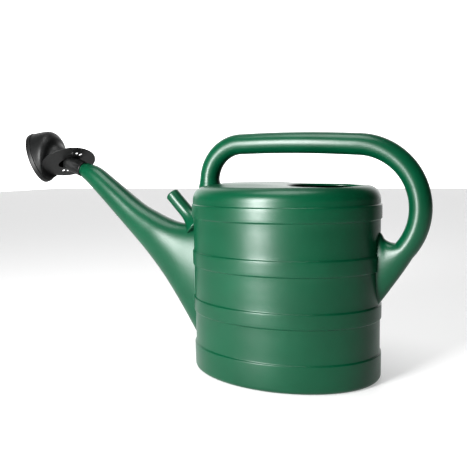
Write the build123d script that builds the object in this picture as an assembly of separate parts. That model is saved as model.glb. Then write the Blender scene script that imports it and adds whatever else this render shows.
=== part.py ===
from build123d import *
from math import cos, pi, radians, sin, tan
import os

# Ten-litre plastic watering can with a push-on rose, in millimetres.
# Origin: middle of the base on the ground. The spout points to -X, the grip's rear leg to +X.

# ---------------------------------------------------------------- driving sizes
# reservoir
HALF_LENGTH = 133.0          # half of the oval body along X, at the plain wall
HALF_WIDTH = 96.0            # half of the oval body along Y, at the plain wall
HEIGHT = 260.5               # ground to the flat deck
WALL = 2.2                   # moulded wall of body, spout and grip
FLOOR = 3.0                  # thickness of the base
BASE_EDGE_RADIUS = 7.0       # rounding under the base
BASE_PAN_HEIGHT = 14.0       # height of the part of the wall that belongs to the base
SHOULDER_RADIUS = 18.0       # rounding between the wall and the deck
BAND_PROUD = 1.8             # how far the hoops stand out from the wall
LOWER_HOOPS = [(0.0, 38.0), (84.0, 20.0), (150.0, 20.5)]     # start height, width
TOP_HOOP_DROP = 43.5         # from the deck down to the start of the top hoop
TOP_HOOP_WIDTH = 19.0

# filler opening in the rear half of the deck
FILLER_REAR_GAP = 21.0       # from the rear end of the body to the opening
FILLER_HALF_LENGTH = 50.0
FILLER_SIDE_LAND = 16.0      # flat deck between the shoulder and each side of the opening

# spout: each ring is given by the ends of its tall axis and half of its width;
# x is measured from the front of the body, z from the deck
SPOUT_ROOT_TOP = (13.0, -60.0)
SPOUT_ROOT_LOW_X = 8.0
SPOUT_ROOT_LOW_HEIGHT = 14.0  # the root's low end above the ground
SPOUT_ROOT_HALF_WIDTH = 30.0
SPOUT_RINGS = [
    ((-20.0, -57.1), (-23.5, -193.0), 29.0),
    ((-36.0, -54.8), (-56.0, -145.0), 27.5),
    ((-50.0, -51.0), (-86.0, -109.0), 26.0),
    ((-71.0, -42.7), (-109.0, -85.3), 23.8),
    ((-104.0, -26.2), (-133.5, -61.3), 21.4),
    ((-151.0, 7.1), (-174.8, -21.7), 18.4),
    ((-184.2, 29.9), (-202.4, 3.3), 15.8),
]
SPOUT_TIP = (-212.5, 25.9)   # middle of the spout's end, at its shoulder
SPOUT_TIP_RISE = 21.0        # degrees above level that the spout's end points
SPOUT_SHOULDER = 1.9         # step from the spout's end down to the spigot

# stepped-down end of the spout, and the peg of the same size that parks the rose
SPIGOT_RADIUS = 10.5
SPIGOT_LENGTH = 30.0
PEG_FOOT = (-7.0, -55.5)     # x from the front of the body, z from the deck
PEG_RISE = 47.0              # degrees above level
PEG_LENGTH = 60.0
PEG_END_ROUNDING = 4.0
PEG_ROOT_LENGTH = 27.0       # tapered part of the peg
PEG_ROOT_FLARE = 6.0         # extra radius where the peg grows out of the spout

# grip
GRIP_RADIUS = 14.3
GRIP_FRONT_LEG = 18.5        # from the front of the body back to the middle of the front leg
GRIP_FRONT_RISE = 58.1       # from the deck to the tube's line over the front leg
GRIP_MIDDLE = (136.1, 59.0)  # where the grip starts to fall: back from the front leg, from deck
GRIP_REAR_CORNER = (135.4, 42.1)   # where it meets the rear leg's line: from rear, from deck
GRIP_REAR_LEG_RISE = 50.16   # degrees above level of the rear leg's line
GRIP_BENDS = (52.0, 350.0, 83.0)   # front, middle and rear bend of the tube's line
GRIP_REAR_END_X = 31.0       # from the rear of the body to the end of the round tube
GRIP_FOOT_FLARE = 3.0        # extra radius where the front leg meets the deck
GRIP_FOOT_HEIGHT = 5.0       # ends on the straight part of the leg, below the front bend

# hollow root that spreads the rear leg on the wall, by the ends of its rings;
# x is measured from the rear of the body, z from the deck
ROOT_RINGS = [
    ((13.4, -72.9), (31.0, -110.0)),
    ((6.5, -69.2), (18.0, -129.5)),
    ((1.5, -61.5), (6.0, -147.0)),
    ((-7.0, -56.5), (-7.0, -165.5)),
]

# rose
ROSE_TWIST = 23.6            # degrees the rose is turned about the spigot, away from upright
SLEEVE_FIT = 0.05            # radial clearance of the sleeve on the spigot
SLEEVE_WALL = 1.9
SLEEVE_GAP = 3.5             # spigot left bare between the spout's shoulder and the sleeve
SLEEVE_END_ROOM = 4.5        # from the end of the spigot to the sleeve's inner lip
SLEEVE_STOP = 3.0            # length of the inner lip
HEAD_FIT = 0.3               # radial clearance between the turning head and the sleeve
FLANGE_RADIUS = 43.0
FLANGE_THICKNESS = 2.0
FLANGE_TILT = 45.5           # degrees between the flange and a square cut of the sleeve
FLANGE_SETBACK = 1.5         # from the sleeve's far end back to the middle of the flange
SLOT_LENGTH = 7.5
SLOT_WIDTH = 4.2
SLOT_RING_RADIUS = 27.0
SLOT_GROUPS = (148.0, 305.0)  # degrees round the flange
SLOT_STEP = 16.0
HEAD_WALL = 2.0
HEAD_NECK_ROOM = 4.25        # from the head's bore over the sleeve to the outside of its neck
HEAD_NECK_TOP = -22.0        # where the neck starts behind the flange, along the spigot, above
HEAD_NECK_LOW = 12.0         # and below
HEAD_TRIM_RADIUS = 36.0      # the shell stays in front of the flange within this radius
HEAD_RINGS = [
    ((27.0, 21.0), (26.0, -22.0), 21.0),
    ((42.0, 31.5), (27.0, -29.0), 31.0),
    ((60.0, 34.0), (25.5, -36.0), 34.0),
]                            # ends of the tall axis: along and across from the flange; half width
FACE_HALF_LENGTH = 44.5
FACE_HALF_WIDTH = 34.0
FACE_TILT = 45.5             # degrees that the spray face looks below the spigot's line
FACE_CENTRE = (60.5, -16.4)  # along the spigot from the flange, and across towards the top
FACE_THICKNESS = 2.2
FACE_RIM = 8.0               # depth of the face's skirt over the shell
FACE_SKIRT_WALL = 1.2
FACE_SEAT = 0.15             # clearance of the face's skirt on the shell
JET_RADIUS = 1.1
JET_RINGS = 4
JET_EDGE = 7.6               # from the outer ring of jets to the side of the face

# ---------------------------------------------------------------- shared places
FRONT_X = -HALF_LENGTH
TIP = Vector(FRONT_X + SPOUT_TIP[0], 0, HEIGHT + SPOUT_TIP[1])
SPIGOT_AXIS = Vector(-cos(radians(SPOUT_TIP_RISE)), 0, sin(radians(SPOUT_TIP_RISE)))
UPRIGHT = Vector(sin(radians(SPOUT_TIP_RISE)), 0, cos(radians(SPOUT_TIP_RISE)))
ROSE_TOP = (UPRIGHT * cos(radians(ROSE_TWIST))
            + Vector(0, 1, 0) * sin(radians(ROSE_TWIST)))
SHOULDER_START = HEIGHT - SHOULDER_RADIUS
HOOPS = LOWER_HOOPS + [(HEIGHT - TOP_HOOP_DROP, TOP_HOOP_WIDTH)]
FILLER_X = HALF_LENGTH - FILLER_REAR_GAP - FILLER_HALF_LENGTH
FILLER_HALF_WIDTH = HALF_WIDTH - SHOULDER_RADIUS - FILLER_SIDE_LAND
SPOUT_TIP_RADIUS = SPIGOT_RADIUS + SPOUT_SHOULDER
GRIP_FRONT_X = FRONT_X + GRIP_FRONT_LEG
SLEEVE_RADIUS = SPIGOT_RADIUS + SLEEVE_FIT + SLEEVE_WALL
SLEEVE_LENGTH = SPIGOT_LENGTH - SLEEVE_GAP + SLEEVE_END_ROOM + SLEEVE_STOP
FLANGE_DISTANCE = SLEEVE_GAP + SLEEVE_LENGTH - FLANGE_SETBACK
HEAD_NECK_RADIUS = SLEEVE_RADIUS + HEAD_FIT + HEAD_NECK_ROOM
MARGIN = 1.0                 # how far a cutting solid runs past what it cuts
RING_STEPS = 6               # steps in each half of a lofted oval


def rose_plane(distance):
    """Plane square to the spigot at a distance from the spout's shoulder; x is the rose's top."""
    return Plane(origin=TIP + SPIGOT_AXIS * distance, x_dir=ROSE_TOP, z_dir=SPIGOT_AXIS)


def oval(half_length, half_width, low, high):
    """Upright oval prism between two heights."""
    return extrude(Plane.XY.offset(low) * Ellipse(half_length, half_width), amount=high - low)


def oval_ring(plane, tall_radius, wide_radius):
    """Oval face drawn as two matching halves, so that lofted ovals line up without twist."""
    def half(start):
        angles = [start + pi * step / RING_STEPS for step in range(RING_STEPS + 1)]
        points = [plane.origin + plane.x_dir * (tall_radius * cos(angle))
                  + plane.y_dir * (wide_radius * sin(angle)) for angle in angles]
        leaving = plane.y_dir * cos(start)
        return Edge.make_spline(points, tangents=[leaving, leaving * -1])
    return Face(Wire([half(0.0), half(pi)]))


def ring_on_chord(top, bottom, half_width, shrink=0.0):
    """Oval in the plane through a chord of the XZ plane and the Y direction."""
    top = Vector(top[0], 0, top[1])
    bottom = Vector(bottom[0], 0, bottom[1])
    tall = (top - bottom) * 0.5
    plane = Plane(origin=(top + bottom) * 0.5, x_dir=tall,
                  z_dir=tall.cross(Vector(0, 1, 0)))
    return oval_ring(plane, tall.length - shrink, half_width - shrink)


def body_solid(inset=0.0):
    """Outside of the reservoir with its hoops, or its inside when inset is the wall."""
    core = oval(HALF_LENGTH - inset, HALF_WIDTH - inset, FLOOR if inset else 0, HEIGHT - inset)
    core = fillet(core.edges().sort_by(Axis.Z)[-1], SHOULDER_RADIUS - inset)
    if inset:
        return core
    proud_length = HALF_LENGTH + BAND_PROUD
    proud_width = HALF_WIDTH + BAND_PROUD
    for start, width in HOOPS:
        core += oval(proud_length, proud_width, start, start + width)
    return core


BODY = body_solid()
INSIDE = body_solid(WALL)
SPAN = 2 * (HALF_LENGTH + HEIGHT)      # larger than the whole body


def slab(low, high):
    """Everything between two heights."""
    return Pos(0, 0, (low + high) / 2) * Box(SPAN, SPAN, high - low)


# ---------------------------------------------------------------- reservoir
def make_base_pan():
    pan = BODY & slab(0, BASE_PAN_HEIGHT)
    pan = fillet(pan.edges().sort_by(Axis.Z)[0], BASE_EDGE_RADIUS)
    return pan - INSIDE


def make_reservoir_wall(spout_passage):
    wall = BODY & slab(BASE_PAN_HEIGHT, SHOULDER_START)
    return wall - INSIDE - spout_passage


def make_top_deck(spout_passage):
    deck = (BODY & slab(SHOULDER_START, HEIGHT + MARGIN)) - INSIDE - spout_passage
    opening = Pos(FILLER_X, 0, 0) * oval(FILLER_HALF_LENGTH, FILLER_HALF_WIDTH,
                                         SHOULDER_START, HEIGHT + MARGIN)
    return deck - opening


# ---------------------------------------------------------------- spout
def spout_loft(shrink=0.0, past_end=0.0):
    """Outside of the spout, or its passage when shrink is the wall."""
    root_low = (SPOUT_ROOT_LOW_X, SPOUT_ROOT_LOW_HEIGHT - HEIGHT)
    chords = [(SPOUT_ROOT_TOP, root_low, SPOUT_ROOT_HALF_WIDTH)] + SPOUT_RINGS
    rings = [ring_on_chord((FRONT_X + top[0], HEIGHT + top[1]),
                           (FRONT_X + low[0], HEIGHT + low[1]), half_width, shrink)
             for top, low, half_width in chords]
    end = TIP + SPIGOT_AXIS * past_end
    tip = Plane(origin=end, x_dir=UPRIGHT, z_dir=SPIGOT_AXIS)
    rings.append(oval_ring(tip, SPOUT_TIP_RADIUS - shrink, SPOUT_TIP_RADIUS - shrink))
    return loft(rings)


def spigot_rod(radius, start, end):
    """Round rod on the spigot's axis between two distances from the spout's shoulder."""
    plane = Plane(origin=TIP + SPIGOT_AXIS * start, x_dir=UPRIGHT, z_dir=SPIGOT_AXIS)
    return extrude(plane * Circle(radius), amount=end - start)


def spigot_bore():
    return spigot_rod(SPIGOT_RADIUS - WALL, -WALL - MARGIN, SPIGOT_LENGTH + MARGIN)


def make_spout(passage):
    return spout_loft() - BODY - passage - spigot_bore()


def make_spigot():
    return spigot_rod(SPIGOT_RADIUS, 0, SPIGOT_LENGTH) - spigot_bore()


def peg_plane(distance):
    rise = radians(PEG_RISE)
    axis = Vector(-cos(rise), 0, sin(rise))
    foot = Vector(FRONT_X + PEG_FOOT[0], 0, HEIGHT + PEG_FOOT[1])
    return Plane(origin=foot + axis * distance, x_dir=Vector(sin(rise), 0, cos(rise)), z_dir=axis)


def make_rose_peg(spout_outside):
    peg = extrude(peg_plane(0) * Circle(SPIGOT_RADIUS), amount=PEG_LENGTH)
    peg = fillet(peg.edges().sort_by(Axis.Z)[-1], PEG_END_ROUNDING)
    flare = loft([peg_plane(0) * Circle(SPIGOT_RADIUS + PEG_ROOT_FLARE),
                  peg_plane(PEG_ROOT_LENGTH) * Circle(SPIGOT_RADIUS)])
    return peg + flare - spout_outside - BODY


# ---------------------------------------------------------------- grip
def grip_path():
    """Middle line of the grip, from inside the deck to the end of the round rear leg."""
    start = (GRIP_FRONT_X, HEIGHT - SHOULDER_RADIUS)
    front = (GRIP_FRONT_X, HEIGHT + GRIP_FRONT_RISE)
    middle = (GRIP_FRONT_X + GRIP_MIDDLE[0], HEIGHT + GRIP_MIDDLE[1])
    rear = (HALF_LENGTH + GRIP_REAR_CORNER[0], HEIGHT + GRIP_REAR_CORNER[1])
    leg = GRIP_REAR_CORNER[0] - GRIP_REAR_END_X
    end = (rear[0] - leg, rear[1] - leg * tan(radians(GRIP_REAR_LEG_RISE)))
    points = [(x, 0, z) for x, z in (start, front, middle, rear, end)]
    return FilletPolyline(*points, radius=list(GRIP_BENDS))


def grip_tube(radius):
    path = grip_path()
    return sweep(Plane(origin=path @ 0, z_dir=path % 0) * Circle(radius), path=path)


def make_handle():
    foot = Plane.XY.offset(HEIGHT - MARGIN)
    flare = loft([Pos(GRIP_FRONT_X, 0, 0) * foot * Circle(GRIP_RADIUS + GRIP_FOOT_FLARE),
                  Pos(GRIP_FRONT_X, 0, GRIP_FOOT_HEIGHT) * foot * Circle(GRIP_RADIUS)])
    return grip_tube(GRIP_RADIUS) + flare - grip_tube(GRIP_RADIUS - WALL) - BODY


def root_loft(shrink=0.0):
    """From the round end of the rear leg to a tall oval inside the wall."""
    path = grip_path()
    leg = path % 1
    start = Plane(origin=path @ 1, x_dir=Vector(leg.Z, 0, -leg.X), z_dir=leg)
    rings = [oval_ring(start, GRIP_RADIUS - shrink, GRIP_RADIUS - shrink)]
    for top, low in ROOT_RINGS:
        rings.append(ring_on_chord((HALF_LENGTH + top[0], HEIGHT + top[1]),
                                   (HALF_LENGTH + low[0], HEIGHT + low[1]), GRIP_RADIUS, shrink))
    return loft(rings)


def make_handle_root():
    return root_loft() - root_loft(WALL) - BODY


# ---------------------------------------------------------------- rose
def flange_plane(offset=0.0):
    """Plane of the flange; z points to the spray side, x down the slope."""
    tilt = radians(FLANGE_TILT)
    normal = SPIGOT_AXIS * cos(tilt) + ROSE_TOP * sin(tilt)
    slope = SPIGOT_AXIS * sin(tilt) - ROSE_TOP * cos(tilt)
    origin = TIP + SPIGOT_AXIS * FLANGE_DISTANCE + normal * offset
    return Plane(origin=origin, x_dir=slope, z_dir=normal)


def face_plane(offset=0.0):
    """Plane of the spray face; z points out of the rose, x along its length."""
    tilt = radians(FACE_TILT)
    normal = SPIGOT_AXIS * cos(tilt) - ROSE_TOP * sin(tilt)
    length = SPIGOT_AXIS * sin(tilt) + ROSE_TOP * cos(tilt)
    origin = (TIP + SPIGOT_AXIS * (FLANGE_DISTANCE + FACE_CENTRE[0])
              + ROSE_TOP * FACE_CENTRE[1] + normal * offset)
    return Plane(origin=origin, x_dir=length, z_dir=normal)


def make_rose_sleeve():
    bore = SPIGOT_RADIUS + SLEEVE_FIT
    end = SLEEVE_GAP + SLEEVE_LENGTH
    sleeve = extrude(rose_plane(SLEEVE_GAP) * Circle(SLEEVE_RADIUS), amount=SLEEVE_LENGTH)
    sleeve -= extrude(rose_plane(SLEEVE_GAP) * Circle(bore), amount=SLEEVE_LENGTH - SLEEVE_STOP)
    return sleeve - extrude(rose_plane(end) * Circle(bore - SLEEVE_WALL), amount=-SLEEVE_STOP)


def flange_disc():
    return extrude(flange_plane() * Circle(FLANGE_RADIUS), amount=FLANGE_THICKNESS)


def make_rose_flange():
    plate = flange_disc()
    for group in SLOT_GROUPS:
        for step in (-1, 0, 1):
            slot = Rot(0, 0, group + step * SLOT_STEP) * Pos(SLOT_RING_RADIUS, 0)
            plate -= extrude(flange_plane() * slot * SlotOverall(SLOT_LENGTH, SLOT_WIDTH),
                             amount=FLANGE_THICKNESS)
    return plate - sleeve_room(SLEEVE_RADIUS + HEAD_FIT)


def sleeve_room(radius):
    """Space that the turning head leaves round the sleeve."""
    return extrude(rose_plane(0) * Circle(radius), amount=SLEEVE_GAP + SLEEVE_LENGTH + HEAD_FIT)


def head_loft(shrink=0.0):
    """Shell of the rose: a round neck that swells and ends at the oval spray face."""
    def ring(top, low, half_width):
        """Oval on a chord of the rose's own middle plane: (along, across) from the flange."""
        base = TIP + SPIGOT_AXIS * FLANGE_DISTANCE
        high = base + SPIGOT_AXIS * top[0] + ROSE_TOP * top[1]
        deep = base + SPIGOT_AXIS * low[0] + ROSE_TOP * low[1]
        tall = (high - deep) * 0.5
        sideways = SPIGOT_AXIS.cross(ROSE_TOP)
        plane = Plane(origin=(high + deep) * 0.5, x_dir=tall, z_dir=tall.cross(sideways))
        return oval_ring(plane, tall.length - shrink, half_width - shrink)

    neck = HEAD_NECK_RADIUS
    rings = [ring((HEAD_NECK_TOP, neck), (HEAD_NECK_LOW, -neck), neck)]
    rings += [ring(top, low, half_width) for top, low, half_width in HEAD_RINGS]
    inside = FACE_SKIRT_WALL + FACE_SEAT + shrink
    for back in (FACE_RIM, 0.0):
        rings.append(oval_ring(face_plane(-back), FACE_HALF_LENGTH - inside,
                               FACE_HALF_WIDTH - inside))
    return loft(rings)


def make_rose_head(face):
    """Swelling shell between the flange and the spray face."""
    shell = head_loft() - head_loft(HEAD_WALL)
    behind = extrude(flange_plane() * Circle(HEAD_TRIM_RADIUS), amount=-SPAN)
    beyond = extrude(face_plane(-FACE_THICKNESS) * Rectangle(SPAN, SPAN), amount=SPAN)
    neck_bore = sleeve_room(HEAD_NECK_RADIUS - HEAD_WALL)
    return shell - behind - flange_disc() - beyond - neck_bore - face


def make_rose_face():
    """Perforated oval cap whose skirt fits over the shell."""
    cap = extrude(face_plane(-FACE_RIM) * Ellipse(FACE_HALF_LENGTH, FACE_HALF_WIDTH),
                  amount=FACE_RIM)
    cap -= extrude(face_plane(-FACE_RIM)
                   * Ellipse(FACE_HALF_LENGTH - FACE_SKIRT_WALL, FACE_HALF_WIDTH - FACE_SKIRT_WALL),
                   amount=FACE_RIM - FACE_THICKNESS)
    jets = [Circle(JET_RADIUS)]
    for turn in range(1, JET_RINGS + 1):
        count = 6 * turn
        along = (FACE_HALF_LENGTH - JET_EDGE * FACE_HALF_LENGTH / FACE_HALF_WIDTH) * turn / JET_RINGS
        across = (FACE_HALF_WIDTH - JET_EDGE) * turn / JET_RINGS
        for number in range(count):
            angle = 2 * pi * number / count
            jets.append(Pos(along * cos(angle), across * sin(angle)) * Circle(JET_RADIUS))
    holes = extrude(face_plane() * Sketch(children=jets), amount=-FACE_THICKNESS)
    return cap - holes


# ---------------------------------------------------------------- build
os.makedirs("parts", exist_ok=True)
passage = spout_loft(WALL, -WALL)
rose_face = make_rose_face()
nodes = {
    "base_pan": make_base_pan(),
    "reservoir_wall": make_reservoir_wall(passage),
    "top_deck": make_top_deck(passage),
    "spout": make_spout(passage),
    "spigot": make_spigot(),
    "rose_peg": make_rose_peg(spout_loft()),
    "handle": make_handle(),
    "handle_root": make_handle_root(),
    "rose_sleeve": make_rose_sleeve(),
    "rose_flange": make_rose_flange(),
    "rose_head": make_rose_head(rose_face),
    "rose_face": rose_face,
}
for name, shape in nodes.items():
    export_step(shape, f"parts/{name}.step")
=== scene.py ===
from math import cos, pi, radians, sin, tan

import bpy
import numpy as np
from mathutils import Matrix, Vector


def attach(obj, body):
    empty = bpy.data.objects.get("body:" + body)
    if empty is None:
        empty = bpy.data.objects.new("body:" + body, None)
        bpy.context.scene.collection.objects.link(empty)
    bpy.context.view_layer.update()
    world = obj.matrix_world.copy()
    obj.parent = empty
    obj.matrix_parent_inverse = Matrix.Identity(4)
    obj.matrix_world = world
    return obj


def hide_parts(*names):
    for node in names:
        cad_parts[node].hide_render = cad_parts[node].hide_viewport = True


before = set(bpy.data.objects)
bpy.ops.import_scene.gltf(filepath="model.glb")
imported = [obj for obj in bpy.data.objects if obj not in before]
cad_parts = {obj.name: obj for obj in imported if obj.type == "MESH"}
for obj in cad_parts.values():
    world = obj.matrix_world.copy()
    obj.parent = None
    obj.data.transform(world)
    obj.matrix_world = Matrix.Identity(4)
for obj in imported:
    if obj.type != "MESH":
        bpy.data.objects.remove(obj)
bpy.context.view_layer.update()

# A ten-litre plastic watering can with a push-on rose. Metres, Z up, origin under the middle
# of the base, spout towards -X.
MM = 0.001

# ---------------------------------------------------------------- sizes of the can, in mm
HALF_LENGTH, HALF_WIDTH, HEIGHT = 133.0, 96.0, 260.5
WALL = 2.2
HOOPS = [(0.0, 38.0), (84.0, 20.0), (150.0, 20.5), (217.0, 19.0)]
HOOP_PROUD = 1.8
SHOULDER = 18.0
BASE_EDGE = 7.0
BASE_RECESS = 2.0
DECK_CROWN = 4.8
FILLER_X, FILLER_LENGTH, FILLER_WIDTH = 62.0, 50.0, 62.0
LIP_RADIUS, LIP_DROP, LIP_WIDTH = 3.0, 3.6, 2.5

# Spout rings: ends of the tall axis and half of the width; x from the front of the body.
SPOUT_RINGS = [
    ((13.0, 200.5), (8.0, 14.0), 30.0),
    ((-20.0, 203.4), (-23.5, 67.5), 29.0),
    ((-36.0, 205.7), (-56.0, 115.5), 27.5),
    ((-50.0, 209.5), (-86.0, 151.5), 26.0),
    ((-71.0, 217.8), (-109.0, 175.2), 23.8),
    ((-104.0, 234.3), (-133.5, 199.2), 21.4),
    ((-151.0, 267.6), (-174.8, 238.8), 18.4),
    ((-184.2, 290.4), (-202.4, 263.8), 15.8),
]
TIP = np.array([-345.5, 0.0, 286.4])
TIP_RISE = radians(21.0)
TIP_RADIUS = 12.4
TIP_ROUND, SPIGOT_ROUND = 2.0, 0.8
SPIGOT_RADIUS, SPIGOT_LENGTH = 10.5, 30.0
PEG_FOOT, PEG_RISE, PEG_LENGTH, PEG_ROUND = (-140.0, 205.0), radians(47.0), 60.0, 3.0
PEG_FLARE, PEG_FLARE_LENGTH = 7.0, 26.0

GRIP_RADIUS = 14.3
GRIP_CORNERS = [(-114.5, 250.0), (-114.5, 318.6), (21.6, 319.5), (268.4, 302.6), (164.0, 177.5)]
GRIP_BENDS = (52.0, 1700.0, 83.0)
GRIP_FOOT_FLARE = 2.2
GRIP_FOOT_TOP = 13.0
# Rings of the grip's root: ends of the tall axis; x from the rear of the body.
ROOT_RINGS = [
    ((13.4, 187.6), (31.0, 150.5)),
    ((6.5, 191.3), (18.0, 131.0)),
    ((1.5, 199.0), (6.0, 113.5)),
    ((-7.0, 204.0), (-7.0, 95.0)),
]

# ---------------------------------------------------------------- sizes of the rose, in mm
ROSE_TWIST = radians(23.6)
SLEEVE_RADIUS, SLEEVE_GAP, SLEEVE_LENGTH = 12.45, 3.5, 34.0
SLEEVE_FIT, STOP_STEP, STOP_LENGTH = 0.05, 1.9, 3.0
RIB_HEIGHT, RIB_COUNT = 0.28, 18
HEAD_FIT, HEAD_WALL = 0.3, 2.0
FLANGE_DISTANCE, FLANGE_RADIUS, FLANGE_THICKNESS = 36.0, 43.0, 2.0
FLANGE_TILT = radians(45.5)
SLOT_RING_RADIUS, SLOT_LENGTH, SLOT_WIDTH, SLOT_STEP = 27.0, 7.5, 4.2, 16.0
SLOT_GROUPS = (148.0, 305.0)
FACE_CENTRE = (60.5, -16.4)
FACE_LENGTH, FACE_WIDTH, FACE_RIM, FACE_THICKNESS = 44.5, 34.0, 8.0, 2.2
FACE_TILT = radians(45.5)
FACE_ROUND, PLATE_BORDER = 2.0, 4.0
JET_RADIUS, JET_PITCH, JET_RINGS = 1.1, 6.6, 4
SKIRT_WALL = 1.0
# Shell rings: (along, across) of both ends of the tall axis, and half of the width.
HEAD_RINGS = [
    ((-22.0, 17.0), (12.0, -17.0), 17.0),
    ((27.0, 20.5), (22.0, -21.0), 20.5),
    ((41.0, 31.0), (24.0, -31.0), 30.5),
    ((58.0, 34.6), (23.5, -36.0), 34.5),
]

# ---------------------------------------------------------------- stage and camera, in metres
WORLD_DIM, WORLD_BRIGHT = 0.05, 1.7
WORLD_BRIGHT_SIDE = (-0.4415, 0.8973, 0.0)
FLOOR_HALF = 6.0
CAMERA_LENS, CAMERA_DISTANCE = 44.8, 0.810
CAMERA_YAW, CAMERA_RISE, CAMERA_ROLL = radians(26.2), radians(6.55), radians(-1.1)
CAMERA_AIM = Vector((-0.0625, -0.0307, 0.1964))

# ---------------------------------------------------------------- directions
Y = np.array([0.0, 1.0, 0.0])
AXIS = np.array([-cos(TIP_RISE), 0.0, sin(TIP_RISE)])
UPRIGHT = np.array([sin(TIP_RISE), 0.0, cos(TIP_RISE)])
ROSE_TOP = UPRIGHT * cos(ROSE_TWIST) + Y * sin(ROSE_TWIST)
ROSE_SIDE = np.cross(AXIS, ROSE_TOP)


# ---------------------------------------------------------------- mesh helpers
def add_mesh(name, points, faces):
    """New smooth-shaded mesh object from points in millimetres."""
    mesh = bpy.data.meshes.new(name)
    mesh.from_pydata([tuple(p) for p in np.asarray(points) * MM], [], faces)
    mesh.validate()
    piece = bpy.data.objects.new(name, mesh)
    bpy.context.collection.objects.link(piece)
    mesh.shade_smooth()
    return piece


def grid(name, rings, close=False):
    """Skin over rings of points; the ends are fans to their middles, or joined when close."""
    rings = [np.asarray(ring) for ring in rings]
    count, around = len(rings), len(rings[0])
    points = np.vstack(rings)
    faces = []
    for k in range(count if close else count - 1):
        a, b = k * around, ((k + 1) % count) * around
        for i in range(around):
            j = (i + 1) % around
            faces.append((a + i, a + j, b + j, b + i))
    if not close:
        middle = len(points)
        points = np.vstack([points, rings[0].mean(axis=0), rings[-1].mean(axis=0)])
        last = (count - 1) * around
        for i in range(around):
            j = (i + 1) % around
            faces.append((middle, j, i))
            faces.append((middle + 1, last + i, last + j))
    return add_mesh(name, points, faces)


def smooth_rows(rows, steps):
    """Catmull-Rom through rows of numbers, with steps between each pair."""
    rows = np.asarray(rows, float)
    rows = np.vstack([2 * rows[0] - rows[1], rows, 2 * rows[-1] - rows[-2]])
    out = []
    for k in range(1, len(rows) - 2):
        before, here, there, after = rows[k - 1:k + 3]
        for t in np.linspace(0.0, 1.0, steps, endpoint=False):
            out.append(0.5 * (2 * here + (there - before) * t
                              + (2 * before - 5 * here + 4 * there - after) * t * t
                              + (3 * here - before - 3 * there + after) * t ** 3))
    out.append(rows[-2])
    return np.array(out)


def arc(start, end, steps):
    return np.linspace(radians(start), radians(end), steps)


def rounded_path(corners, radii, step):
    """Points and tangents along straight runs joined by arcs, in the XZ plane."""
    corners = [np.array(c, float) for c in corners]
    points, cursor = [], corners[0]
    for here, after, radius in zip(corners[1:-1], corners[2:], radii):
        go_in = (here - cursor) / np.linalg.norm(here - cursor)
        go_out = (after - here) / np.linalg.norm(after - here)
        turn = np.arccos(np.clip(go_in @ go_out, -1, 1))
        cut = radius * tan(turn / 2)
        start = here - go_in * cut
        side = go_out - go_in * (go_in @ go_out)
        centre = start + side / np.linalg.norm(side) * radius
        count = max(2, int(np.linalg.norm(start - cursor) / step))
        points += [cursor + (start - cursor) * t for t in np.linspace(0, 1, count, endpoint=False)]
        spoke = start - centre
        for angle in np.linspace(0, turn, max(3, int(radius * turn / step)), endpoint=False):
            points.append(centre + spoke * cos(angle) + go_in * radius * sin(angle))
        cursor = here + go_out * cut
    count = max(2, int(np.linalg.norm(corners[-1] - cursor) / step))
    points += [cursor + (corners[-1] - cursor) * t for t in np.linspace(0, 1, count)]
    points = np.array(points)
    tangents = np.gradient(points, axis=0)
    return points, tangents / np.linalg.norm(tangents, axis=1)[:, None]


def slide_to_level(rings, level):
    """Slides the rings along their lines so that each line starts where its level is zero."""
    lines = np.array(rings)                                    # ring, point, xyz
    shares = np.linspace(0, 1, len(lines))
    out = np.empty_like(lines)
    for i in range(lines.shape[1]):
        first = max(1, int(np.argmax(level[:, i] > 0)))
        part = -level[first - 1, i] / (level[first, i] - level[first - 1, i])
        begin = (first - 1 + np.clip(part, 0, 1)) / (len(lines) - 1)
        places = begin + (1 - begin) * shares
        for axis in range(3):
            out[:, i, axis] = np.interp(places, shares, lines[:, i, axis])
    return out


def chord_ring(top, low, half_width, angles, side=Y):
    """Oval through the two ends of its tall axis, with its half-width along side."""
    top, low = np.asarray(top, float), np.asarray(low, float)
    middle, tall = (top + low) / 2, (top - low) / 2
    return middle + np.outer(np.cos(angles), tall) + np.outer(np.sin(angles), half_width * side)


def cut_with(piece, cutter):
    """Takes the cutter's shape out of the piece, for good."""
    step = piece.modifiers.new("cut", "BOOLEAN")
    step.operation, step.solver, step.object = "DIFFERENCE", "EXACT", cutter
    graph = bpy.context.evaluated_depsgraph_get()
    mesh = bpy.data.meshes.new_from_object(piece.evaluated_get(graph))
    piece.modifiers.remove(step)
    piece.data = mesh
    bpy.data.objects.remove(cutter)
    mesh.shade_smooth()


# ---------------------------------------------------------------- the body of the can
AROUND = np.linspace(0, 2 * pi, 288, endpoint=False)


def body_ring(outset, height):
    """Level oval ring that stands outset from the plain wall."""
    return np.column_stack([(HALF_LENGTH + outset) * np.cos(AROUND),
                            (HALF_WIDTH + outset) * np.sin(AROUND),
                            np.full(len(AROUND), height)])


def inset_of(x, y):
    """How far a point of the deck lies inside the plain wall's outline."""
    low, high = np.zeros_like(x), np.full_like(x, HALF_WIDTH - 1.0)
    for _ in range(40):
        middle = (low + high) / 2
        inside = (x / (HALF_LENGTH - middle)) ** 2 + (y / (HALF_WIDTH - middle)) ** 2 < 1
        low, high = np.where(inside, middle, low), np.where(inside, high, middle)
    return low


def deck_height(x, y):
    """Height of the shoulder and the crowned deck, which flattens out around the filler."""
    inset = inset_of(x, y)
    left = np.clip(SHOULDER - inset, 0, None)
    drop = SHOULDER - np.sqrt(SHOULDER ** 2 - left ** 2)
    rise = np.clip((inset - SHOULDER * 0.5) / 45.0, 0, 1)
    fade = np.clip((30.0 - x) / 70.0, 0, 1)
    crown = DECK_CROWN * (0.25 + 0.75 * fade * fade * (3 - 2 * fade))
    return HEIGHT - drop + crown * rise * rise * (3 - 2 * rise)


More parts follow.
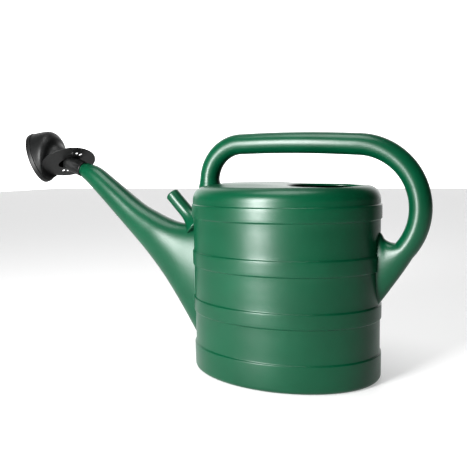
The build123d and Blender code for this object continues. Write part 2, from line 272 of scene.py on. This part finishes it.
def hoop_profile():
    """(outset, height) up the wall, with softly stepped hoop edges."""
    profile = [(HOOP_PROUD, BASE_EDGE)]
    step = [(1.0, -1.5), (0.97, -0.9), (0.83, -0.35), (0.5, 0.0), (0.17, 0.3), (0.03, 0.75),
            (0.0, 1.3)]
    for start, width in HOOPS:
        if start > 0:
            profile += [(HOOP_PROUD * out, start - up) for out, up in reversed(step)]
            profile += [(HOOP_PROUD, start + width * share) for share in (0.3, 0.5, 0.7)]
        profile += [(HOOP_PROUD * out, start + width + up) for out, up in step]
        ends = [low for low, _ in HOOPS if low > start] + [HEIGHT - SHOULDER]
        free = ends[0] - start - width
        if free > 20:
            profile += [(0.0, start + width + free * share) for share in (0.25, 0.5, 0.75)]
    return profile


def outer_rings():
    """From the recessed middle of the base, up the wall, to the edge of the deck."""
    rings = []
    foot = HOOP_PROUD - BASE_EDGE
    for share in (0.05, 0.25, 0.5, 0.75, 0.93):
        rings.append(body_ring(0, BASE_RECESS) * [share * 0.9, share * 0.87, 1])
    for inset, height in ((12.0, BASE_RECESS), (10.6, 1.5), (9.6, 0.5), (8.2, 0.0), (2.0, 0.0)):
        rings.append(body_ring(foot - inset, height))
    for angle in arc(-90, 0, 9)[:-1]:
        rings.append(body_ring(foot + BASE_EDGE * cos(angle), BASE_EDGE + BASE_EDGE * sin(angle)))
    rings += [body_ring(outset, height) for outset, height in hoop_profile()]
    for angle in arc(0, 52, 12):
        rings.append(body_ring(SHOULDER * (cos(angle) - 1),
                               HEIGHT - SHOULDER + SHOULDER * sin(angle)))
    return rings


def deck_rings(edge):
    """Across the deck, over the filler's rounded lip, and back under the deck."""
    hole = np.column_stack([FILLER_LENGTH * np.cos(AROUND), FILLER_WIDTH * np.sin(AROUND)])
    out = np.column_stack([np.cos(AROUND), np.sin(AROUND)])
    middle = np.array([FILLER_X, 0.0])
    lip, wall = middle + hole + out * LIP_RADIUS, LIP_DROP - LIP_RADIUS
    rings = []
    for share in np.linspace(0, 1, 22)[1:]:
        flat = edge * (1 - share) + lip * share
        rings.append(np.column_stack([flat, deck_height(flat[:, 0], flat[:, 1])]))
    top = rings[-1][:, 2]
    for angle in arc(0, 90, 8)[1:]:
        flat = middle + hole + out * LIP_RADIUS * (1 - sin(angle))
        rings.append(np.column_stack([flat, top - LIP_RADIUS * (1 - cos(angle))]))
    for angle in arc(0, 90, 5)[1:]:
        flat = middle + hole + out * wall * (1 - cos(angle))
        rings.append(np.column_stack([flat, top - LIP_RADIUS - wall * sin(angle)]))
    collar = middle + hole + out * LIP_WIDTH
    rings.append(np.column_stack([collar, top - LIP_DROP]))
    inner_edge = body_ring(-WALL - 5.0, 0)[:, :2]
    for share in np.linspace(0, 1, 10)[1:]:
        flat = collar * (1 - share) + inner_edge * share
        rings.append(np.column_stack([flat, deck_height(flat[:, 0], flat[:, 1]) - LIP_DROP]))
    return rings


def inner_rings():
    """Down the inside of the wall to the middle of the floor."""
    rings = [body_ring(-WALL, height)
             for height in (HEIGHT - SHOULDER, 200.0, 150.0, 100.0, 50.0, 14.0)]
    for angle in arc(0, 90, 6)[1:]:
        rings.append(body_ring(-WALL - 8.0 * (1 - cos(angle)), 12.0 - 8.0 * sin(angle)))
    for share in (0.9, 0.6, 0.3, 0.05):
        rings.append(body_ring(-WALL - 8.0, 4.0) * [share, share, 1])
    return rings


def make_body():
    outside = outer_rings()
    body = grid("can_body", outside + deck_rings(outside[-1][:, :2]) + inner_rings())
    cut_with(body, grid("passage", spout_rings(WALL)[::2]))
    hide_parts("base_pan", "reservoir_wall", "top_deck")
    return body


# ---------------------------------------------------------------- the spout
SPOUT_AROUND = np.linspace(0, 2 * pi, 96, endpoint=False)


def spout_rings(shrink):
    """Rings from inside the body to the shoulder of the spout's end."""
    rows = [(top[0] - HALF_LENGTH, top[1], low[0] - HALF_LENGTH, low[1], width)
            for top, low, width in SPOUT_RINGS]
    tip_top, tip_low = TIP + UPRIGHT * TIP_RADIUS, TIP - UPRIGHT * TIP_RADIUS
    rows.append((tip_top[0], tip_top[2], tip_low[0], tip_low[2], TIP_RADIUS))
    rings = []
    for top_x, top_z, low_x, low_z, width in smooth_rows(rows, 14):
        top, low = np.array([top_x, 0, top_z]), np.array([low_x, 0, low_z])
        tall = (top - low) / np.linalg.norm(top - low) * shrink
        rings.append(chord_ring(top - tall, low + tall, width - shrink, SPOUT_AROUND))
    return rings


def start_on_wall(rings, outset):
    """Slides the rings along so that the first one lies on the body's wall."""
    lines = np.array(rings)
    level = ((lines[:, :, 0] / (HALF_LENGTH + outset)) ** 2
             + (lines[:, :, 1] / (HALF_WIDTH + outset)) ** 2 - 1)
    return list(slide_to_level(rings, level))


def tip_ring(radius, along):
    return (TIP + AXIS * along + radius * (np.outer(np.cos(SPOUT_AROUND), UPRIGHT)
                                           + np.outer(np.sin(SPOUT_AROUND), Y)))


def make_spout():
    outside = start_on_wall(spout_rings(0.0), -0.6)
    inside = start_on_wall(spout_rings(WALL), -WALL + 0.2)
    rings = outside[:-1]
    for angle in arc(0, 90, 6):
        rings.append(tip_ring(TIP_RADIUS - TIP_ROUND * (1 - cos(angle)),
                              -TIP_ROUND * (1 - sin(angle))))
    rings.append(tip_ring(SPIGOT_RADIUS + 0.3, 0.0))
    rings.append(tip_ring(SPIGOT_RADIUS, 0.4))
    for along in (3.0, 12.0, 21.0, SPIGOT_LENGTH - SPIGOT_ROUND):
        rings.append(tip_ring(SPIGOT_RADIUS, along))
    for angle in arc(0, 90, 4)[1:]:
        rings.append(tip_ring(SPIGOT_RADIUS - SPIGOT_ROUND * (1 - cos(angle)),
                              SPIGOT_LENGTH - SPIGOT_ROUND * (1 - sin(angle))))
    bore = SPIGOT_RADIUS - WALL
    rings.append(tip_ring(bore + 0.3, SPIGOT_LENGTH))
    for along in (SPIGOT_LENGTH - 0.4, 20.0, 10.0, 1.0, -1.5):
        rings.append(tip_ring(bore, along))
    rings += inside[-3::-1]
    spout = grid("can_spout", rings, close=True)
    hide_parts("spout", "spigot")
    return spout


def make_peg():
    axis = np.array([-cos(PEG_RISE), 0.0, sin(PEG_RISE)])
    up = np.array([sin(PEG_RISE), 0.0, cos(PEG_RISE)])
    foot = np.array([PEG_FOOT[0], 0.0, PEG_FOOT[1]])
    angles = np.linspace(0, 2 * pi, 64, endpoint=False)

    def ring(radius, along):
        return (foot + axis * along
                + radius * (np.outer(np.cos(angles), up) + np.outer(np.sin(angles), Y)))

    rings = [ring(SPIGOT_RADIUS + PEG_FLARE * (1 - along / PEG_FLARE_LENGTH) ** 2.2, along)
             for along in np.linspace(-6.0, PEG_FLARE_LENGTH, 12)]
    rings += [ring(SPIGOT_RADIUS, along) for along in (32.0, 40.0, 48.0)]
    for angle in arc(0, 90, 8):
        rings.append(ring(SPIGOT_RADIUS - PEG_ROUND * (1 - cos(angle)),
                          PEG_LENGTH - PEG_ROUND * (1 - sin(angle))))
    rings += [ring(radius, PEG_LENGTH) for radius in (5.0, 2.0)]
    peg = grid("can_peg", rings)
    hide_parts("rose_peg")
    return peg


# ---------------------------------------------------------------- the grip
def make_grip():
    angles = np.linspace(0, 2 * pi, 72, endpoint=False)
    path, tangents = rounded_path(GRIP_CORNERS, GRIP_BENDS, 3.0)
    rows = []
    for (x, z), (along_x, along_z) in zip(path, tangents):
        near = np.clip(1 - (z - HEIGHT) / GRIP_FOOT_TOP, 0, 1) if x < 0 else 0.0
        radius = GRIP_RADIUS + GRIP_FOOT_FLARE * near ** 2
        inner = np.array([along_z, -along_x]) * radius
        rows.append((x + inner[0], z + inner[1], x - inner[0], z - inner[1], radius))
    root = [rows[-1]] + [(HALF_LENGTH + top[0], top[1], HALF_LENGTH + low[0], low[1], GRIP_RADIUS)
                         for top, low in ROOT_RINGS]
    rows = rows[:-1] + list(smooth_rows(root, 12))
    rings = [chord_ring((row[0], 0, row[1]), (row[2], 0, row[3]), row[4], angles) for row in rows]
    grip = grid("can_grip", rings)
    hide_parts("handle", "handle_root")
    return grip


# ---------------------------------------------------------------- the rose
def rose_point(along, across, sideways=0.0):
    """Place by distance from the spout's shoulder, towards the rose's top, and sideways."""
    return TIP + AXIS * along + ROSE_TOP * across + ROSE_SIDE * sideways


def rose_ring(radius, along, angles):
    return (TIP + AXIS * along + np.outer(np.cos(angles) * radius, ROSE_TOP)
            + np.outer(np.sin(angles) * radius, ROSE_SIDE))


def plate(name, outline, holes, thickness, bevel, origin, along, normal):
    """Flat plate with rounded edges: closed outlines in mm, on a plane given by two axes."""
    curve = bpy.data.curves.new(name, "CURVE")
    curve.dimensions, curve.fill_mode = "2D", "BOTH"
    for loop in [outline] + holes:
        spline = curve.splines.new("POLY")
        spline.points.add(len(loop) - 1)
        for point, (x, y) in zip(spline.points, loop):
            point.co = (x * MM, y * MM, 0, 1)
        spline.use_cyclic_u = True
    curve.extrude = (thickness / 2 - bevel) * MM
    curve.bevel_depth, curve.bevel_resolution, curve.offset = bevel * MM, 3, -bevel * MM
    holder = bpy.data.objects.new(name + "_outline", curve)
    bpy.context.collection.objects.link(holder)
    graph = bpy.context.evaluated_depsgraph_get()
    mesh = bpy.data.meshes.new_from_object(holder.evaluated_get(graph))
    bpy.data.objects.remove(holder)
    across = np.cross(normal, along)
    middle = (np.asarray(origin) - np.asarray(normal) * thickness / 2) * MM
    place = Matrix([(along[k], across[k], normal[k], middle[k]) for k in range(3)]
                   + [(0, 0, 0, 1)])
    mesh.transform(place)
    piece = bpy.data.objects.new(name, mesh)
    bpy.context.collection.objects.link(piece)
    mesh.shade_smooth()
    mesh.set_sharp_from_angle(angle=radians(35))
    return piece


def oval_loop(half_length, half_width, count, centre=(0.0, 0.0)):
    angles = np.linspace(0, 2 * pi, count, endpoint=False)
    return [(centre[0] + half_length * cos(a), centre[1] + half_width * sin(a)) for a in angles]


def make_sleeve():
    angles = np.linspace(0, 2 * pi, 144, endpoint=False)
    ribs = RIB_HEIGHT * np.clip(np.cos(angles * RIB_COUNT), -0.2, 1)
    end = SLEEVE_GAP + SLEEVE_LENGTH
    bore = SPIGOT_RADIUS + SLEEVE_FIT
    stop = bore - STOP_STEP
    rings = [rose_ring(bore + 0.35, SLEEVE_GAP, angles),
             rose_ring(SLEEVE_RADIUS - 0.9, SLEEVE_GAP, angles),
             rose_ring(SLEEVE_RADIUS - 0.35, SLEEVE_GAP + 0.25, angles),
             rose_ring(SLEEVE_RADIUS, SLEEVE_GAP + 0.9, angles),
             rose_ring(SLEEVE_RADIUS, SLEEVE_GAP + 2.2, angles)]
    for along in (SLEEVE_GAP + 3.0, 12.0, 18.0):
        rings.append(rose_ring(SLEEVE_RADIUS - RIB_HEIGHT + ribs, along, angles))
    for along in (21.0, 30.0, end - 0.5):
        rings.append(rose_ring(SLEEVE_RADIUS, along, angles))
    rings += [rose_ring(SLEEVE_RADIUS - 0.5, end, angles), rose_ring(bore - 1.5, end, angles),
              rose_ring(stop, end - 0.4, angles), rose_ring(stop, end - STOP_LENGTH, angles),
              rose_ring(bore, end - STOP_LENGTH, angles), rose_ring(bore, 20.0, angles),
              rose_ring(bore, SLEEVE_GAP + 0.4, angles)]
    sleeve = grid("rose_sleeve_ribbed", rings, close=True)
    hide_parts("rose_sleeve")
    return sleeve


def flange_axes():
    normal = AXIS * cos(FLANGE_TILT) + ROSE_TOP * sin(FLANGE_TILT)
    slope = AXIS * sin(FLANGE_TILT) - ROSE_TOP * cos(FLANGE_TILT)
    return normal, slope


def slot_loop(angle):
    """Rounded slot that points outwards from the middle of the flange."""
    straight, radius = (SLOT_LENGTH - SLOT_WIDTH) / 2, SLOT_WIDTH / 2
    loop = []
    for a in np.linspace(-90, 270, 28, endpoint=False):
        shift = straight if a < 90 else -straight
        loop.append((SLOT_RING_RADIUS + shift + radius * cos(radians(a)), radius * sin(radians(a))))
    turn = radians(angle)
    return [(x * cos(turn) - y * sin(turn), x * sin(turn) + y * cos(turn)) for x, y in loop]


def make_flange():
    normal, slope = flange_axes()
    room = SLEEVE_RADIUS + HEAD_FIT
    holes = [oval_loop(room / cos(FLANGE_TILT), room, 96)]
    holes += [slot_loop(group + step * SLOT_STEP) for group in SLOT_GROUPS for step in (-1, 0, 1)]
    origin = rose_point(FLANGE_DISTANCE, 0) + normal * FLANGE_THICKNESS
    flange = plate("rose_flange_plate", oval_loop(FLANGE_RADIUS, FLANGE_RADIUS, 192), holes,
                   FLANGE_THICKNESS, 0.5, origin, slope, normal)
    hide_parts("rose_flange")
    return flange


def face_axes():
    normal = AXIS * cos(FACE_TILT) - ROSE_TOP * sin(FACE_TILT)
    length = AXIS * sin(FACE_TILT) + ROSE_TOP * cos(FACE_TILT)
    centre = rose_point(FLANGE_DISTANCE + FACE_CENTRE[0], FACE_CENTRE[1])
    return normal, length, centre


def face_ring(inset, back, angles):
    normal, length, centre = face_axes()
    return (centre - normal * back + np.outer(np.cos(angles) * (FACE_LENGTH - inset), length)
            + np.outer(np.sin(angles) * (FACE_WIDTH - inset), ROSE_SIDE))


def make_head():
    angles = np.linspace(0, 2 * pi, 120, endpoint=False)
    normal, length, centre = face_axes()
    skirt = SKIRT_WALL + 0.15

    def chords(shrink):
        rows = [np.array([*top, *low, width]) for top, low, width in HEAD_RINGS]
        for back in (FACE_RIM, FACE_THICKNESS):
            base = centre - normal * back - rose_point(FLANGE_DISTANCE, 0)
            end = length * (FACE_LENGTH - skirt)
            rows.append(np.array([(base + end) @ AXIS, (base + end) @ ROSE_TOP,
                                  (base - end) @ AXIS, (base - end) @ ROSE_TOP, FACE_WIDTH - skirt]))
        rings = []
        for top_s, top_t, low_s, low_t, width in smooth_rows(rows, 9):
            top = rose_point(FLANGE_DISTANCE + top_s, top_t)
            low = rose_point(FLANGE_DISTANCE + low_s, low_t)
            tall = (top - low) / np.linalg.norm(top - low) * shrink
            rings.append(chord_ring(top - tall, low + tall, width - shrink, angles, ROSE_SIDE))
        return rings

    def beyond_flange(rings):
        """Slides each line of the shell so that it starts on the flange."""
        flange_normal, _ = flange_axes()
        start = rose_point(FLANGE_DISTANCE, 0) + flange_normal * (FLANGE_THICKNESS - 0.3)
        out = slide_to_level(rings, (np.array(rings) - start) @ flange_normal)
        # Where a line dips behind the flange inside its rim, it is lifted onto the flange.
        origin = rose_point(FLANGE_DISTANCE, 0)
        lift = (out - start) @ flange_normal
        reach = out - origin
        spread = np.linalg.norm(reach - (reach @ flange_normal)[..., None] * flange_normal, axis=-1)
        share = np.clip((FLANGE_RADIUS + 2.5 - spread) / 3.0, 0, 1)
        out += (np.clip(-lift, 0, None) * share)[..., None] * flange_normal
        return list(out)

    outside, inside = beyond_flange(chords(0.0)), beyond_flange(chords(HEAD_WALL))
    head = grid("rose_shell", outside + inside[::-1], close=True)
    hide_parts("rose_head")
    return head


def make_face():
    angles = np.linspace(0, 2 * pi, 120, endpoint=False)
    normal, length, centre = face_axes()
    inner = SKIRT_WALL
    rings = [face_ring(inner, FACE_RIM, angles), face_ring(0.6, FACE_RIM, angles),
             face_ring(0.15, FACE_RIM - 0.2, angles), face_ring(0.0, FACE_RIM - 0.7, angles),
             face_ring(0.0, 5.0, angles), face_ring(0.0, 2.6, angles)]
    for angle in arc(0, 90, 7)[1:]:
        rings.append(face_ring(FACE_ROUND * (1 - cos(angle)), FACE_ROUND * (1 - sin(angle)),
                               angles))
    rings += [face_ring(PLATE_BORDER, 0.0, angles), face_ring(PLATE_BORDER, FACE_THICKNESS, angles),
              face_ring(inner, FACE_THICKNESS, angles)]
    rim = grid("rose_face_rim", rings, close=True)

    stretch = FACE_LENGTH / FACE_WIDTH
    holes = [oval_loop(JET_RADIUS, JET_RADIUS, 16)]
    for turn in range(1, JET_RINGS + 1):
        for number in range(6 * turn):
            angle = 2 * pi * number / (6 * turn)
            place = (turn * JET_PITCH * stretch * cos(angle), turn * JET_PITCH * sin(angle))
            holes.append(oval_loop(JET_RADIUS, JET_RADIUS, 16, place))
    border = PLATE_BORDER - 0.1
    disc = plate("rose_face_plate", oval_loop(FACE_LENGTH - border, FACE_WIDTH - border, 120), holes,
                 FACE_THICKNESS - 0.2, 0.2, centre - normal * 0.1, length, normal)
    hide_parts("rose_face")
    return rim, disc


# ---------------------------------------------------------------- materials
def new_material(name):
    material = bpy.data.materials.new(name)
    material.use_nodes = True
    nodes, links = material.node_tree.nodes, material.node_tree.links
    shader = nodes["Principled BSDF"]
    place = nodes.new("ShaderNodeTexCoord")
    return material, nodes, links, shader, place.outputs["Object"]


def noise(nodes, links, place, scale, detail=3.0, stretch=(1, 1, 1)):
    mapping = nodes.new("ShaderNodeMapping")
    mapping.inputs["Scale"].default_value = stretch
    links.new(place, mapping.inputs["Vector"])
    texture = nodes.new("ShaderNodeTexNoise")
    texture.inputs["Scale"].default_value = scale
    texture.inputs["Detail"].default_value = detail
    links.new(mapping.outputs["Vector"], texture.inputs["Vector"])
    return texture.outputs["Fac"]


def ramp(nodes, links, value, stops):
    node = nodes.new("ShaderNodeValToRGB")
    for element, (spot, colour) in zip(node.color_ramp.elements, stops):
        element.position, element.color = spot, colour
    links.new(value, node.inputs["Fac"])
    return node.outputs["Color"]


def to_range(nodes, links, value, low, high):
    node = nodes.new("ShaderNodeMapRange")
    node.inputs["To Min"].default_value, node.inputs["To Max"].default_value = low, high
    links.new(value, node.inputs["Value"])
    return node.outputs["Result"]


def bump_chain(nodes, links, layers, shader):
    """Stacks (height, strength, distance) bumps on the shader's normal."""
    normal = None
    for height, strength, distance in layers:
        bump = nodes.new("ShaderNodeBump")
        bump.inputs["Strength"].default_value = strength
        bump.inputs["Distance"].default_value = distance
        links.new(height, bump.inputs["Height"])
        if normal is not None:
            links.new(normal, bump.inputs["Normal"])
        normal = bump.outputs["Normal"]
    links.new(normal, shader.inputs["Normal"])


def green_plastic():
    """Blow-moulded polyethylene: satin, with a fine level grain and faint flow clouds."""
    material, nodes, links, shader, place = new_material("green_polyethylene")
    clouds = noise(nodes, links, place, 14.0, 4.0)
    colour = ramp(nodes, links, clouds, [(0.30, (0.0002, 0.0420, 0.0185, 1)),
                                         (0.72, (0.0003, 0.0525, 0.0235, 1))])
    links.new(colour, shader.inputs["Base Color"])
    grain = noise(nodes, links, place, 900.0, 3.0, (0.30, 0.30, 1.6))
    pores = noise(nodes, links, place, 1500.0, 2.0)
    waves = noise(nodes, links, place, 22.0, 2.0, (0.7, 0.7, 1.4))
    links.new(to_range(nodes, links, grain, 0.27, 0.38), shader.inputs["Roughness"])
    bump_chain(nodes, links, [(waves, 0.35, 0.0010), (grain, 0.22, 0.00020),
                              (pores, 0.15, 0.00010)], shader)
    shader.inputs["Specular IOR Level"].default_value = 0.36
    return material


def black_plastic():
    """Injection-moulded black polypropylene with a fine spark texture."""
    material, nodes, links, shader, place = new_material("black_polypropylene")
    clouds = noise(nodes, links, place, 40.0, 4.0)
    colour = ramp(nodes, links, clouds, [(0.30, (0.0040, 0.0043, 0.0043, 1)),
                                         (0.75, (0.0080, 0.0084, 0.0084, 1))])
    links.new(colour, shader.inputs["Base Color"])
    grain = noise(nodes, links, place, 1400.0, 3.0)
    links.new(to_range(nodes, links, clouds, 0.40, 0.52), shader.inputs["Roughness"])
    bump_chain(nodes, links, [(clouds, 0.2, 0.0004), (grain, 0.25, 0.00012)], shader)
    shader.inputs["Specular IOR Level"].default_value = 0.28
    return material


# ---------------------------------------------------------------- stage, lights and camera
def make_floor():
    mesh = bpy.data.meshes.new("floor")
    corners = [(x * FLOOR_HALF, y * FLOOR_HALF, 0) for x, y in ((-1, -1), (1, -1), (1, 1), (-1, 1))]
    mesh.from_pydata(corners, [], [(0, 1, 2, 3)])
    floor = bpy.data.objects.new("floor", mesh)
    bpy.context.collection.objects.link(floor)
    material = bpy.data.materials.new("pale_floor")
    material.use_nodes = True
    shader = material.node_tree.nodes["Principled BSDF"]
    shader.inputs["Base Color"].default_value = (0.50, 0.50, 0.50, 1)
    shader.inputs["Emission Color"].default_value = (1.0, 1.0, 1.0, 1)
    shader.inputs["Emission Strength"].default_value = 0.34
    shader.inputs["Roughness"].default_value = 0.6
    mesh.materials.append(material)


def area_light(name, place, aim, size, power, height=None):
    light = bpy.data.lights.new(name, "AREA")
    light.shape = "RECTANGLE"
    light.size, light.size_y = size, height or size
    light.energy = power
    lamp = bpy.data.objects.new(name, light)
    lamp.location = place
    lamp.rotation_euler = (Vector(aim) - Vector(place)).to_track_quat("-Z", "Y").to_euler()
    bpy.context.collection.objects.link(lamp)


def make_world():
    """Soft surroundings: bright behind the object as the camera sees it, dim elsewhere."""
    world = bpy.data.worlds.new("studio")
    world.use_nodes = True
    nodes, links = world.node_tree.nodes, world.node_tree.links
    place = nodes.new("ShaderNodeTexCoord")
    turn = nodes.new("ShaderNodeVectorMath")
    turn.operation = "DOT_PRODUCT"
    turn.inputs[1].default_value = WORLD_BRIGHT_SIDE
    links.new(place.outputs["Generated"], turn.inputs[0])
    spread = nodes.new("ShaderNodeMapRange")
    spread.interpolation_type = "SMOOTHSTEP"
    for name, value in (("From Min", 0.35), ("From Max", 0.86), ("To Min", WORLD_DIM),
                        ("To Max", WORLD_BRIGHT)):
        spread.inputs[name].default_value = value
    links.new(turn.outputs["Value"], spread.inputs["Value"])
    links.new(spread.outputs["Result"], nodes["Background"].inputs["Strength"])
    nodes["Background"].inputs["Color"].default_value = (1.0, 1.0, 1.0, 1)
    bpy.context.scene.world = world


def make_lights():
    area_light("key_left", (-0.42, -1.13, 0.43), (-0.02, 0, 0.15), 0.30, 36.0, 0.72)
    area_light("top", (-0.15, -0.25, 1.5), (0, 0, 0.2), 0.7, 10.0)


def make_camera():
    camera = bpy.data.cameras.new("camera")
    camera.sensor_width = 36.0
    camera.lens = CAMERA_LENS
    camera.clip_start, camera.clip_end = 0.01, 50.0
    holder = bpy.data.objects.new("camera", camera)
    bpy.context.collection.objects.link(holder)
    flat, rise = cos(CAMERA_RISE), sin(CAMERA_RISE)
    back = Vector((sin(CAMERA_YAW) * flat, -cos(CAMERA_YAW) * flat, rise))
    right = (-back).cross(Vector((0, 0, 1))).normalized()
    up = right.cross(-back)
    level = right * cos(CAMERA_ROLL) + up * sin(CAMERA_ROLL)
    tall = up * cos(CAMERA_ROLL) - right * sin(CAMERA_ROLL)
    spot = CAMERA_AIM + back * CAMERA_DISTANCE
    holder.matrix_world = Matrix([(level[k], tall[k], back[k], spot[k]) for k in range(3)]
                                 + [(0, 0, 0, 1)])
    bpy.context.scene.camera = holder


# ---------------------------------------------------------------- put together
def paint(piece, material):
    piece.data.materials.clear()
    piece.data.materials.append(material)


green, black = green_plastic(), black_plastic()
for piece in (make_body(), make_spout(), make_peg(), make_grip()):
    paint(piece, green)
    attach(piece, "can")

sleeve = make_sleeve()
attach(sleeve, "sleeve")
face_rim, face_disc = make_face()
flange, head = make_flange(), make_head()
for piece in (flange, head, face_rim, face_disc):
    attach(piece, "rose")
for piece in (sleeve, face_rim, face_disc, flange, head):
    paint(piece, black)

bpy.context.scene.view_settings.view_transform = "Standard"
bpy.context.scene.view_settings.look = "Medium High Contrast"
make_floor()
make_world()
make_lights()
make_camera()
